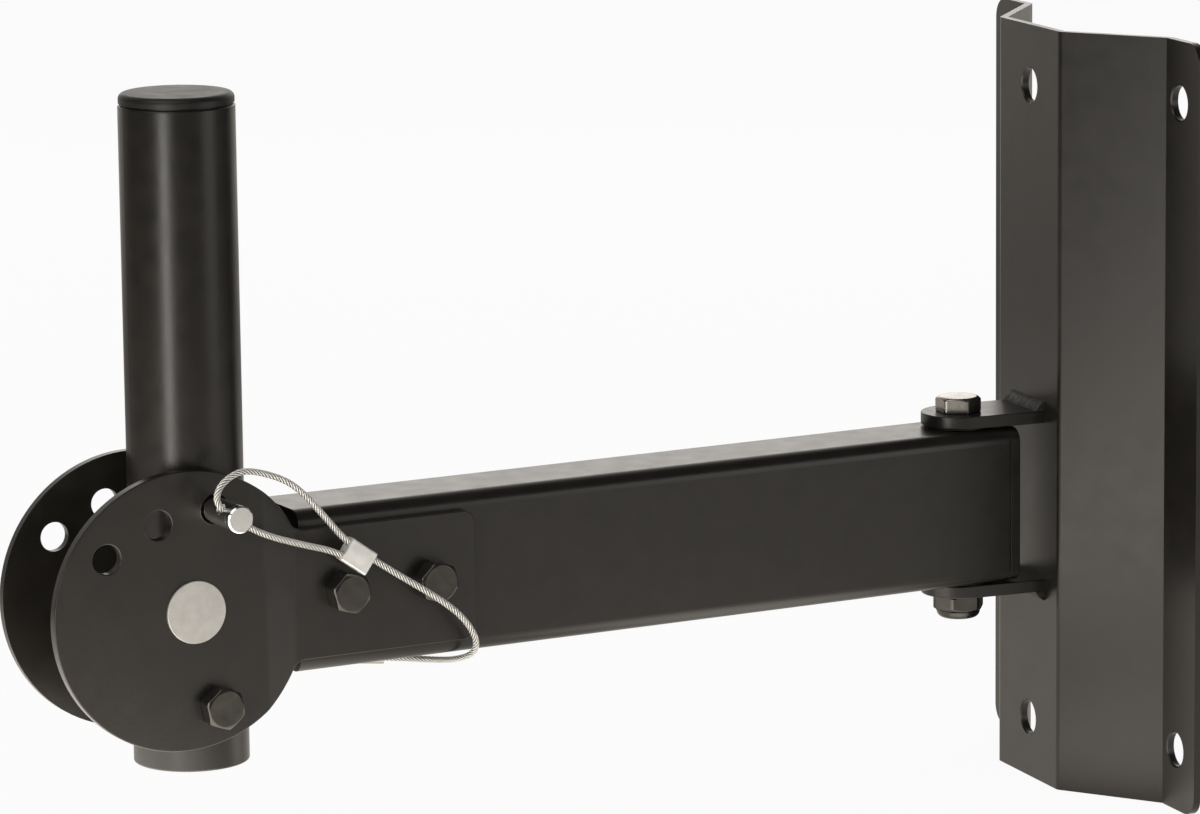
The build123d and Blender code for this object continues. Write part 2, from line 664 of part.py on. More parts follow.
# Lock pin: a plain shaft with a button end and a cross eye for the rope
pin_tip = pole_radius + PIN_TIP_CLEARANCE
pin_end = head_outer + PIN_REACH
button_start = pin_end - PIN_BUTTON_LENGTH
groove_start = button_start - PIN_GROOVE_WIDTH
eye_y = head_outer + PIN_EYE_FROM_PLATE
eye_angle = radians(PIN_EYE_ANGLE)
eye_way = along * cos(eye_angle) + up * sin(eye_angle)
pin_place = (-pivot_l, pin_z)

with BuildPart() as lock_pin:
    with BuildSketch(side_plane(pin_tip)):
        with Locations(pin_place):
            Circle(PIN_DIAMETER / 2)
    extrude(amount=groove_start - pin_tip)
    tip_face = lock_pin.faces().sort_by_distance(arm_point(pivot_l, pin_tip, pin_z))[0]
    chamfer(tip_face.edges(), HEX_CHAMFER)
    with BuildSketch(side_plane(groove_start)):
        with Locations(pin_place):
            Circle(PIN_GROOVE_DIAMETER / 2)
    extrude(amount=PIN_GROOVE_WIDTH)
    with BuildSketch(side_plane(button_start)):
        with Locations(pin_place):
            Circle(PIN_BUTTON_DIAMETER / 2)
    extrude(amount=PIN_BUTTON_LENGTH)
    button_face = lock_pin.faces().sort_by_distance(arm_point(pivot_l, pin_end, pin_z))[0]
    chamfer(button_face.edges(), EDGE_BREAK)
    eye_mouth = arm_point(pivot_l, eye_y, pin_z) + eye_way * PIN_DIAMETER / 2
    with Locations(Plane(origin=eye_mouth, x_dir=across, z_dir=eye_way)):
        CounterSinkHole(PIN_EYE_DIAMETER / 2, PIN_EYE_SINK_DIAMETER / 2, depth=BIG)
finish(lock_pin.part, "lock_pin")

# Blank badge on the near disc
badge_l = head_centre_l - BADGE_SETBACK
badge_z = ARM_AXIS_Z - BADGE_BELOW_AXIS
with BuildPart() as badge:
    with BuildSketch(side_plane(head_outer)):
        with Locations((-badge_l, badge_z)):
            Circle(BADGE_DIAMETER / 2)
    extrude(amount=BADGE_THICKNESS)
    badge_face = badge.faces().sort_by_distance(
        arm_point(badge_l, head_outer + BADGE_THICKNESS, badge_z)
    )[0]
    fillet(badge_face.edges(), EDGE_BREAK / 2)
finish(badge.part, "badge")

# Lanyard: the rope's route in the arm's frame, from the lug to the pin's eye and back
ferrule_turn = radians(FERRULE_ANGLE)
ferrule_way = along * cos(ferrule_turn) + up * sin(ferrule_turn)
ferrule_rise = up * cos(ferrule_turn) - along * sin(ferrule_turn)
rope_radius = ROPE_DIAMETER / 2


def rope_point(ahead, side, rise, level=pin_z):
    """A place of the lanyard, ahead of the pivot along the arm and rise above a level."""
    return arm_point(pivot_l + ahead, side, level + rise)


ferrule_centre = rope_point(*FERRULE_AT)


def ferrule_point(forward, rise):
    """A point in the ferrule, forward towards the pin and rise across it."""
    return ferrule_centre + ferrule_way * forward + ferrule_rise * rise


half_ferrule = FERRULE_LENGTH / 2
eye_centre = arm_point(pivot_l, eye_y, pin_z)
rope_route = [rope_point(*place, level=arm_bottom) for place in ROPE_FROM_LUG]
rope_route.append(ferrule_point(half_ferrule + STRAND_LEAD, STRAND_OFFSET))
rope_route.extend(rope_point(*place) for place in ROPE_OVER_PIN)
rope_route.append(eye_centre + eye_way * EYE_LEAD)
rope_route.append(eye_centre - eye_way * EYE_LEAD)
rope_route.extend(rope_point(*place) for place in ROPE_BACK)
rope_route.append(ferrule_point(half_ferrule + STRAND_LEAD, -STRAND_OFFSET))
rope_route.append(ferrule_point(ROPE_END_IN_FERRULE - half_ferrule, -STRAND_OFFSET))

bend_radii = []
for before, corner, after in zip(rope_route, rope_route[1:], rope_route[2:]):
    run_in = corner - before
    run_out = after - corner
    half_turn = radians(run_in.get_angle(run_out)) / 2
    bend_radii.append(BEND_SHARE * min(run_in.length, run_out.length) / tan(half_turn))
print("rope bend radii", [round(radius, 1) for radius in bend_radii])

with BuildPart() as lanyard_rope:
    with BuildLine() as rope_line:
        FilletPolyline(*rope_route, radius=bend_radii)
    with BuildSketch(Plane(origin=rope_route[0], z_dir=rope_route[1] - rope_route[0])):
        Circle(rope_radius)
    sweep(transition=Transition.ROUND)
rope_length = sum(e.length for e in rope_line.edges())
print("rope length", round(rope_length, 1))
print("rope volume", lanyard_rope.part.volume, "expected", pi * rope_radius**2 * rope_length)
finish(lanyard_rope.part, "lanyard_rope")

with BuildPart() as lanyard_ferrule:
    with BuildSketch(Plane(origin=ferrule_point(-half_ferrule, 0), x_dir=across, z_dir=ferrule_way)):
        RectangleRounded(FERRULE_DEPTH, FERRULE_WIDTH, FERRULE_EDGE)
    extrude(amount=FERRULE_LENGTH)
    add(lanyard_rope.part, mode=Mode.SUBTRACT)
finish(lanyard_ferrule.part, "lanyard_ferrule")

# Lug under the arm: a barrel round the rope's end on a riveted tab
lug_start = rope_route[0]
lug_way = (rope_route[1] - rope_route[0]).normalized()
lug_tail = lug_start - lug_way * LUG_TAB_THICKNESS
tab_centre = rope_point(*LUG_TAB_AT, 0, level=arm_bottom)

with BuildPart() as lanyard_lug:
    with BuildSketch(Plane(origin=lug_tail, z_dir=lug_way)):
        Circle(LUG_BARREL_DIAMETER / 2)
    extrude(amount=LUG_BARREL_LENGTH + LUG_TAB_THICKNESS)
    with BuildSketch(Plane.XY.offset(arm_bottom)):
        with Locations((tab_centre.X, tab_centre.Y)):
            Circle(LUG_TAB_DIAMETER / 2)
    extrude(amount=-LUG_BARREL_DIAMETER / 2)
    add(lanyard_rope.part, mode=Mode.SUBTRACT)
finish(lanyard_lug.part, "lanyard_lug")

with BuildPart() as lug_rivet:
    with BuildSketch(Plane.XY.offset(arm_bottom - LUG_BARREL_DIAMETER / 2)):
        with Locations((tab_centre.X, tab_centre.Y)):
            Circle(LUG_BARREL_DIAMETER / 2)
    extrude(amount=-LUG_TAB_THICKNESS)
finish(lug_rivet.part, "lug_rivet")
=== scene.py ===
"""Looks of a speaker wall bracket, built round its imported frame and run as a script."""

import math

import bpy
import numpy as np
from mathutils import Matrix, Vector


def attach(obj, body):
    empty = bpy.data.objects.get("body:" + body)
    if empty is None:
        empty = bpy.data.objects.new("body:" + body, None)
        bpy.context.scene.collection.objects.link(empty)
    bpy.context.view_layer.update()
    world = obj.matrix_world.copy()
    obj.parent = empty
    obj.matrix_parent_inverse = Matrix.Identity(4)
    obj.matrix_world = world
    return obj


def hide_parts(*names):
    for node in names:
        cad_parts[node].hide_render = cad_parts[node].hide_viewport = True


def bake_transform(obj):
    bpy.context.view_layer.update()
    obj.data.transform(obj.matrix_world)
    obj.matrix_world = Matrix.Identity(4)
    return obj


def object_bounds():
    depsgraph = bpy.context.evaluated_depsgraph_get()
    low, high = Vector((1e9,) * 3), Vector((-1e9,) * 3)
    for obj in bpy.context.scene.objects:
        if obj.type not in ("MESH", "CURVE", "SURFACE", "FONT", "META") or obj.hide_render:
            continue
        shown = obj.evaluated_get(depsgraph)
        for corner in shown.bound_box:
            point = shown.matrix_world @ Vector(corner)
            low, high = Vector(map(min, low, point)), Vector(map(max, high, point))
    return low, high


bl_info = {
    "name": "Speaker wall bracket looks",
    "version": (1, 0, 0),
    "blender": (4, 5, 0),
    "location": "3D View > Sidebar > Bracket",
    "description": "Finishes a wall bracket with a tilting pole and lays its wire lanyard",
    "category": "Object",
}

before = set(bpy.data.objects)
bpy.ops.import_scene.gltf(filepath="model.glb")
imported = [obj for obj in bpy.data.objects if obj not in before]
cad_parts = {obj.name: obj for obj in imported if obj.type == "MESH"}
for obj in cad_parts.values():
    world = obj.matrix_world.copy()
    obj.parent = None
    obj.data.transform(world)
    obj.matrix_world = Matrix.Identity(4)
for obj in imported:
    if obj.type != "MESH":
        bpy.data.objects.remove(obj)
cad_low, cad_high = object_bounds()

MM = 0.001

# The arm's own directions at rest, the hinge's axis and the tilt pivot's place along the arm
ARM_TURN = math.radians(6.5)
ALONG = np.array([math.sin(ARM_TURN), -math.cos(ARM_TURN), 0.0])
ACROSS = np.array([math.cos(ARM_TURN), math.sin(ARM_TURN), 0.0])
UP = np.array([0.0, 0.0, 1.0])
HINGE = np.array([0.0, -50.5, 0.0])
PIVOT_L = 271.5
ARM_UNDERSIDE = -55.0

# The wire rope's free points, in mm ahead of the pivot, to the pin's side, and up
ROPE_FROM_LUG = [
    (-60.0, -5.6, -2.4),
    (-67.0, -3.2, -2.8),
    (-74.0, 0.2, -3.2),
    (-80.1, 5.8, -3.3),
    (-83.7, 11.7, -2.5),
    (-85.9, 20.0, 0.7),
    (-85.2, 24.0, 6.1),
    (-79.9, 25.6, 13.7),
    (-71.9, 26.1, 20.4),
    (-55.0, 25.5, 31.4),
]
ROPE_OVER_PIN = [
    (-33.0, 27.2, -4.7),
    (-24.5, 28.9, 4.6),
    (-17.5, 29.7, 9.3),
    (-6.3, 31.0, 13.0),
    (-0.8, 31.6, 12.0),
    (3.8, 31.8, 8.6),
]
ROPE_BACK = [
    (-11.8, 30.0, -7.5),
    (-24.2, 27.7, -12.0),
]
FERRULE_AT = (-44.3, 25.3, -18.2)
FERRULE_TURN = math.radians(35.5)
FERRULE_MOUTH = 5.4
FERRULE_INSIDE = -3.8
STRAND_OFFSET = 1.8
ROUTE_STEPS = 48
STRAND_POINTS = 8
EYE_AT = (0.0, 32.0, 0.0)
EYE_TURN = math.radians(36.0)
EYE_LEAD = 5.7

# The fasteners, in mm: across flats, head or nut height, a corner's direction in degrees, thread radius
TAIL_BOLT = (11.6, 6.3, 74.5, 3.0)
TAIL_BOLT_LENGTH = 44.1
TAIL_BOLTS_AT = ((-73.0, 18.0, -30.0), (-43.5, 18.0, -30.0))
TAIL_NUT = (10.0, 5.0, 12.0, 3.0)
TAIL_NUT_SIDE = -19.6
PIVOT_BOLT = (11.6, 5.3, 70.0, 4.0)
PIVOT_BOLT_LENGTH = 52.6
PIVOT_BOLT_AT = (0.0, 21.0, -60.0)
PIVOT_NUT = (13.0, 8.0, 8.0, 4.0)
PIVOT_NUT_SIDE = -22.6
HINGE_BOLT = (13.0, 5.0, 0.0, 4.0)
HINGE_BOLT_LENGTH = 66.8
HINGE_HEAD_RISE = -0.3
HINGE_NUT = (15.0, 8.2, 35.5, 4.0)
HINGE_NUT_RISE = -59.5
LOCK_COLLAR = 2.6
COLLAR_SHARE = 0.94
CROWN_SHARE = 0.93
CORNER_POWER = 30
FASTENER_POINTS = 120
THREAD_PITCH = 1.25
THREAD_DEPTH = 0.6
THREADED = 9.0
THREAD_RINGS = 8
THREAD_RUN_OUT = (0.3, 0.9)
TIP_CHAMFER = 0.7
UNDER_HEAD = 0.1
CHAMFER_SLOPE = math.tan(math.radians(30))
# A hexagon's rings: a chamfer's rounding as a share of it, then in mm the steps inside the crown's circle,
# the rings that keep the sides flat, and those at a head's seat as (how far in, how far up)
CHAMFER_EASE = 0.15
CROWN_STEP = 0.15
SIDE_RINGS = (0.18, 0.35)
SEAT_ROWS = ((0.45, 0.0), (0.3, 0.0), (0.0, 0.25), (0.0, 0.4))
BORE_CHAMFER = 0.5
COLLAR_FOOT = 0.25
COLLAR_UPRIGHT = 0.3
COLLAR_FLAT = 0.8
SHARP_FROM = math.radians(50)

# The rim round the arm's wall end: where the tube ends, how far the rim goes on, and its outline, in mm
ARM_END_L = -12.3
ARM_END_RIM = 1.85
ARM_WIDTH = 30.0
ARM_HEIGHT = 50.0
ARM_CORNER = 4.5
ARM_MIDDLE_RISE = -30.0
# Its rings from inside the tube's wall outwards, as (how far in from the tube's side, how far up the arm)
ARM_END_ROWS = (
    (0.05, 1.5), (-0.01, 1.499), (-0.01, 1.42), (-0.01, 0.3 - ARM_END_RIM), (-0.01, 0.2 - ARM_END_RIM),
    (0.03, 0.06 - ARM_END_RIM), (0.15, -ARM_END_RIM), (0.3, -ARM_END_RIM), (0.6, -ARM_END_RIM),
)

# The photograph's camera
CAMERA_PLACE = (1.720218, -0.857077, 0.356394)
CAMERA_AZIMUTH = 68.345
CAMERA_ELEVATION = 10.578
CAMERA_ROLL = -0.640
CAMERA_LENS = 180.47
CAMERA_SENSOR = 36.0
# The level direction that leads away from the camera, behind the object
BEHIND = (-math.sin(math.radians(CAMERA_AZIMUTH)), math.cos(math.radians(CAMERA_AZIMUTH)), 0.0)

# The studio, in metres: the point that the soft boxes surround, and the floor disc
LIT_MIDDLE = (0.0, -0.15, 0.0)
LAMP_COLOUR = (1.0, 0.965, 0.92)
WHITE = (1.0, 1.0, 1.0, 1.0)
FLOOR_RADIUS = 6.0
FLOOR_POINTS = 96
FLOOR_DROP = 0.0005
# How much of the floor's own white the camera sees, and how much of the mirrored floor the finishes see
CAMERA_FLOOR_SHARE = 0.94
MIRRORED_FLOOR_SHARE = 0.85
MIRRORED_FLOOR_COLOUR = (1.0, 0.93, 0.84, 1.0)
# The floor as the finishes mirror it, a painted glow that only reflections see: it brightens over a distance
# behind the object, and has painted pools of light, each with its middle, inner and outer radius, and its
# strength inside and outside them
FAR_FLOOR = {"From Min": 0.4, "From Max": 1.3, "To Min": 0.0, "To Max": 0.9}
FLOOR_GLOW_POOLS = (
    ((0.0, -0.2), 0.35, 0.95, 1.0, 0.05),
    ((0.13, -0.49), 0.1, 0.38, 4.4, 0.0),
    ((0.08, -0.09), 0.03, 0.12, 3.0, 0.0),
)
# The room's strength as the finishes mirror it, which rises towards behind the object, and as plain light
MIRRORED_ROOM = {"From Min": 0.3, "From Max": 0.92, "To Min": 0.04, "To Max": 0.84}
MIRRORED_ROOM_COLOUR = (1.0, 0.95, 0.89, 1.0)
ROOM_LIGHT = 0.35


def arm_point(ahead, side, rise):
    """Metres from mm in the arm's frame: hinge + along * (pivot + ahead) + across * side + up * rise."""
    place = HINGE + ALONG * (PIVOT_L + ahead) + ACROSS * side + UP * rise
    return place * MM


def hex_colour(text):
    """Linear RGBA from an sRGB hex value: c / 12.92 below 0.04045, else ((c + 0.055) / 1.055) ** 2.4."""
    parts = [int(text[i : i + 2], 16) / 255 for i in (1, 3, 5)]
    linear = [c / 12.92 if c <= 0.04045 else ((c + 0.055) / 1.055) ** 2.4 for c in parts]
    return (*linear, 1.0)


def add_node(tree, kind, inputs=None, **settings):
    """Adds a node with its own settings, and each input set to a value or linked from a socket."""
    node = tree.nodes.new(kind)
    for name, value in settings.items():
        setattr(node, name, value)
    for name, value in (inputs or {}).items():
        if isinstance(value, bpy.types.NodeSocket):
            tree.links.new(value, node.inputs[name])
        else:
            node.inputs[name].default_value = value
    return node


def new_material(name):
    """An empty node material and its tree."""
    material = bpy.data.materials.new(name)
    material.use_nodes = True
    material.node_tree.nodes.clear()
    return material, material.node_tree


def close_material(tree, shader):
    """Joins the shader to the material's output."""
    add_node(tree, "ShaderNodeOutputMaterial", {"Surface": shader})


def finish_material(name, colours, metallic, roughness, grain_mm, bump_mm):
    """A finish with a mottled colour and roughness and a fine relief, its grain and relief in mm."""
    material, tree = new_material(name)
    place = add_node(tree, "ShaderNodeTexCoord").outputs["Object"]
    blots, grain = (
        add_node(
            tree, "ShaderNodeTexNoise", {"Vector": place, "Scale": 1 / (size * MM), "Detail": 3.0}
        ).outputs["Fac"]
        for size in (grain_mm * 8, grain_mm)
    )
    mottle = add_node(
        tree, "ShaderNodeMapRange", {"Value": blots, "From Min": 0.3, "From Max": 0.7}
    ).outputs["Result"]
    colour = add_node(
        tree, "ShaderNodeMix", {0: mottle, 6: colours[0], 7: colours[1]}, data_type="RGBA"
    ).outputs[2]
    rough = add_node(tree, "ShaderNodeMix", {0: mottle, 2: roughness[0], 3: roughness[1]}).outputs[0]
    relief = add_node(
        tree, "ShaderNodeBump", {"Height": grain, "Distance": bump_mm * MM, "Strength": 1.0}
    ).outputs["Normal"]
    inputs = {"Base Color": colour, "Roughness": rough, "Normal": relief, "Metallic": metallic}
    close_material(tree, add_node(tree, "ShaderNodeBsdfPrincipled", inputs).outputs["BSDF"])
    return material


def arm_end_piece():
    """The rim that takes the arm on past its solid's wall end: the tube's rounded outline, edges eased."""
    quarter = np.linspace(0, math.pi / 2, 9)
    rows = []
    for inset, along in ARM_END_ROWS:
        corner = ARM_CORNER - inset
        outline = []
        for k, (side, rise) in enumerate(((1, 1), (-1, 1), (-1, -1), (1, -1))):
            turn = quarter + k * math.pi / 2
            sideways = side * (ARM_WIDTH / 2 - ARM_CORNER) + corner * np.cos(turn)
            upwards = rise * (ARM_HEIGHT / 2 - ARM_CORNER) + corner * np.sin(turn)
            outline.append(np.stack([sideways, upwards, np.full(len(turn), -along)], -1))
        rows.append(np.concatenate(outline))
    place = (HINGE + ALONG * ARM_END_L + UP * ARM_MIDDLE_RISE) * MM
    return shell_piece("arm_end_rim", [(turned_to(np.array(rows), place, ACROSS, UP, -ALONG), False)])


def fasten(name, shells, material, body, node):
    """Makes a fastener's shells into one piece that takes a CAD node's place on its body."""
    piece = shell_piece(name, shells)
    piece.data.set_sharp_from_angle(angle=SHARP_FROM)
    piece.data.materials.append(material)
    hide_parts(node)
    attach(piece, body)


def dress(nodes, material):
    """Gives CAD nodes a material in place of their plain one."""
    for name in nodes:
        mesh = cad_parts[name].data
        mesh.materials.clear()
        mesh.materials.append(material)


def nurbs_points(places, steps):
    """The points of a NURBS curve of order 3 through its end control points, in order."""
    curve = bpy.data.curves.new("route", "CURVE")
    curve.dimensions = "3D"
    spline = curve.splines.new("NURBS")
    spline.points.add(len(places) - 1)
    weighted = np.ones((len(places), 4))
    weighted[:, :3] = places
    spline.points.foreach_set("co", weighted.ravel())
    spline.order_u = 3
    spline.use_endpoint_u = True
    curve.resolution_u = steps
    route = bpy.data.objects.new("route", curve)
    bpy.context.scene.collection.objects.link(route)
    bpy.context.view_layer.update()
    line = bpy.data.meshes.new_from_object(route.evaluated_get(bpy.context.evaluated_depsgraph_get()))
    points = np.zeros(len(line.vertices) * 3)
    line.vertices.foreach_get("co", points)
    bpy.data.objects.remove(route)
    bpy.data.meshes.remove(line)
    bpy.data.curves.remove(curve)
    return points.reshape(-1, 3)


def carried_frames(points):
    """Two unit directions across a path at each point, turned as little as possible from point to point."""
    ahead = np.gradient(points, axis=0)
    ahead /= np.linalg.norm(ahead, axis=1)[:, None]
    side = np.zeros_like(points)
    side[0] = np.cross(ahead[0], UP)
    side[0] /= np.linalg.norm(side[0])
    for i in range(1, len(points)):
        carried = side[i - 1] - ahead[i] * (side[i - 1] @ ahead[i])
        side[i] = carried / np.linalg.norm(carried)
    return side, np.cross(ahead, side)


def path_lengths(points):
    """The distance along a path at each of its points."""
    steps = np.linalg.norm(np.diff(points, axis=0), axis=1)
    return np.concatenate([[0.0], np.cumsum(steps)])


def shell_faces(rings, looped, first):
    """The faces of a grid of points (rings, points round), and each corner's row and column in the grid.

    Neighbouring rings are joined by quads. A looped grid joins its last ring to its first, and any other
    grid gets a fan at each end round that end's middle point, which follows the grid's own points.
    """
    count, size = rings.shape[:2]
    steps = count if looped else count - 1
    i, j = np.meshgrid(np.arange(steps), np.arange(size), indexing="ij")
    k = (j + 1) % size
    n = (i + 1) % count
    faces = [np.stack([i * size + j, i * size + k, n * size + k, n * size + j], -1).reshape(-1, 4)]
    if not looped:
        j = np.arange(size)
        k = (j + 1) % size
        base = (count - 1) * size
        faces.append(np.stack([k, j, np.full(size, count * size)], -1))
        faces.append(np.stack([base + j, base + k, np.full(size, count * size + 1)], -1))
    corners = np.concatenate([part.reshape(-1) for part in faces])
    inside = corners < count * size
    cells = np.where(inside, corners // size, 0), np.where(inside, corners % size, 0)
    return [face for part in faces for face in (part + first).tolist()], cells


def shell_piece(name, shells, uv=None):
    """One object from closed shells, each a grid of points (rings, points round) and whether it is looped."""
    points, faces, first = [], [], 0
    for rings, looped in shells:
        middles = [] if looped else [rings[:1].mean(axis=1), rings[-1:].mean(axis=1)]
        shell = np.concatenate([rings.reshape(-1, 3), *middles])
        part, cells = shell_faces(rings, looped, first)
        points.append(shell)
        faces += part
        first += len(shell)
    mesh = bpy.data.meshes.new(name)
    mesh.from_pydata(np.concatenate(points).tolist(), [], faces)
    mesh.shade_smooth()
    if uv is not None:
        layer = mesh.uv_layers.new(name="wires")
        layer.data.foreach_set("uv", uv[cells].ravel())
    mesh.validate()
    piece = bpy.data.objects.new(name, mesh)
    bpy.context.scene.collection.objects.link(piece)
    return piece


def round_angles():
    """The directions of the points round a fastener."""
    return np.arange(FASTENER_POINTS) * 2 * math.pi / FASTENER_POINTS


def hexagon_reach(flats, corner):
    """How far a hexagon with rounded corners reaches in each direction.

    A side at half the width across flats, f, is 1 / c away with c = cos(angle to its middle) / f, and
    the six sides together give (sum of c ** p) ** (-1 / p); a higher p makes the corners sharper.
    """
    middles = math.radians(corner) + math.pi / 6 + np.arange(6)[:, None] * math.pi / 3
    nearness = np.maximum(np.cos(round_angles()[None, :] - middles), 0) * 2 / flats
    return (nearness**CORNER_POWER).sum(axis=0) ** (-1 / CORNER_POWER)


def stacked_rings(rows):
    """Rings from (radius, height) pairs in mm, each a number or a value for each point round."""
    turn = round_angles()
    grid = np.zeros((len(rows), FASTENER_POINTS, 3))
    for ring, (radius, height) in zip(grid, rows):
        ring[:, 0] = radius * np.cos(turn)
        ring[:, 1] = radius * np.sin(turn)
        ring[:, 2] = height
    return grid


def hexagon_rows(flats, corner, low, high, chamfer_low):
    """A hexagon's sides, low to high: a chamfer falls by tan 30 for each mm outside the crown's circle."""
    reach = hexagon_reach(flats, corner)
    crown = flats / 2 * CROWN_SHARE
    wide = reach - crown
    fall = wide * CHAMFER_SLOPE
    ends = (CHAMFER_EASE, 1 - CHAMFER_EASE)
    if chamfer_low:
        rows = [(crown - CROWN_STEP, low)]
        rows += [(crown + wide * share, low + fall * share) for share in ends]
        rows += [(reach, low + fall + rise) for rise in SIDE_RINGS]
    else:
        rows = [(reach - inset, low + rise) for inset, rise in SEAT_ROWS]
    rows += [(reach, high - fall - drop) for drop in reversed(SIDE_RINGS)]
    rows += [(crown + wide * share, high - fall * share) for share in reversed(ends)]
    rows += [(crown - CROWN_STEP, high), (crown - 2 * CROWN_STEP, high)]
    return rows


def bolt_rings(flats, head, corner, shank, length):
    """A bolt from its tip to its head's top, with height 0 under the head.

    The thread's radius is the shank's less DEPTH times the triangle wave |2 frac(h / pitch - turn) - 1|.
    """
    start = -length + TIP_CHAMFER
    heights = np.arange(start, start + THREADED, THREAD_PITCH / THREAD_RINGS)
    rows = [(shank - TIP_CHAMFER, -length)]
    for height in heights:
        wave = np.abs(2 * ((height / THREAD_PITCH - round_angles() / (2 * math.pi)) % 1) - 1)
        rows.append((shank - THREAD_DEPTH * wave, height))
    first, last = THREAD_RUN_OUT
    rows += [(shank - THREAD_DEPTH, heights[-1] + first), (shank, heights[-1] + last), (shank, -UNDER_HEAD)]
    return stacked_rings(rows + hexagon_rows(flats, corner, 0.0, head, False))


def nut_rings(flats, height, corner, bore, collar):
    """A nut's outline as a loop, with height 0 at its seat; a collar is the lock nut's round domed rim."""
    top = height - collar
    rows = [(bore + BORE_CHAMFER, 0.0), *hexagon_rows(flats, corner, 0.0, top, True)]
    if collar:
        rim = flats / 2 * COLLAR_SHARE
        dome = np.linspace(0, math.pi / 2, 7)
        round_off = min(collar - COLLAR_UPRIGHT, rim - bore - COLLAR_FLAT)
        rows += [(rim + COLLAR_FOOT, top), (rim, top + COLLAR_FOOT)]
        rows += [(rim - round_off * (1 - math.cos(a)), height - round_off * (1 - math.sin(a))) for a in dome]
    rows += [(bore + BORE_CHAMFER, height), (bore, height - BORE_CHAMFER), (bore, BORE_CHAMFER)]
    return stacked_rings(rows)


def turned_to(rings, place, across, along, axis):
    """Rings in mm about their own axis, moved to a place in metres with three directions."""
    return place + (rings[..., :1] * across + rings[..., 1:2] * along + rings[..., 2:] * axis) * MM


def colour_property(name, description, colour):
    """A colour that can be set in the panel, from its sRGB hex value."""
    return bpy.props.FloatVectorProperty(
        name=name, description=description, default=hex_colour(colour),
        subtype="COLOR", size=4, min=0.0, max=1.0,
    )


class BracketRope(bpy.types.PropertyGroup):
    diameter: bpy.props.FloatProperty(
        name="Diameter", description="The wire rope's outside", default=0.002, unit="LENGTH"
    )
    strands: bpy.props.IntProperty(
        name="Strands", description="Strands laid round the rope's core", default=6
    )
    lay: bpy.props.FloatProperty(
        name="Lay", description="Rope length in which a strand goes round once", default=0.0078, unit="LENGTH"
    )
    wires: bpy.props.IntProperty(
        name="Wires", description="Wires that show round one strand", default=7
    )


class BracketFinish(bpy.types.PropertyGroup):
    coat: colour_property("Powder coat", "The powder coat's colour", "#191714")
    coat_light: colour_property("Powder coat, light", "The coat's colour in its paler blots", "#1f1c18")
    coat_grain: bpy.props.FloatProperty(
        name="Coat grain", description="Width of the powder coat's fine orange peel, in mm", default=0.9
    )
    zinc: colour_property("Zinc", "The zinc plating's colour", "#9a9893")
    chrome: colour_property("Chrome", "The lock pin's colour", "#efefee")


class BracketStage(bpy.types.PropertyGroup):
    strip: bpy.props.FloatProperty(
        name="Strip light", description="Power of the upright strip on the pin's side, in watts", default=0.7
    )
    key: bpy.props.FloatProperty(
        name="Key light", description="Power of the high soft box on the room side, in watts", default=5.5
    )
    side: bpy.props.FloatProperty(
        name="Side light", description="Power of the soft box behind the pin's side, in watts", default=2.0
    )
    back: bpy.props.FloatProperty(
        name="Back light", description="Power of the low soft box behind, in watts", default=3.5
    )
    floor: colour_property("Floor", "The floor's colour", "#f2f1ef")


class BRACKET_OT_coated_steel(bpy.types.Operator):
    """Gives the folded plate, arm, head plates and pole their black powder coat"""

    bl_idname = "bracket.coated_steel"
    bl_label = "Coated steel"

    def execute(self, context):
        finish = context.scene.bracket_finish
        # Polyester powder coat, sprayed and baked: satin, with a fine orange peel that breaks up glints
        coat = finish_material(
            "satin_powder_coat", (finish.coat, finish.coat_light), 0.0, (0.29, 0.34), finish.coat_grain, 0.022
        )
        dress(
            [
                "wall_plate", "hinge_ear_upper", "hinge_ear_lower", "arm_tube", "arm_end_plate",
                "head_plate_near", "head_plate_far", "pole_tube",
            ],
            coat,
        )
        # The same coat over a weld bead: the ripples under it leave it matt
        bead = finish_material(
            "coated_weld_bead", (finish.coat, finish.coat_light), 0.0, (0.5, 0.62), 1.4, 0.35
        )
        dress(["weld_upper", "weld_lower"], bead)
        end = arm_end_piece()
        end.data.materials.append(coat)
        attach(end, "arm")
        return {"FINISHED"}


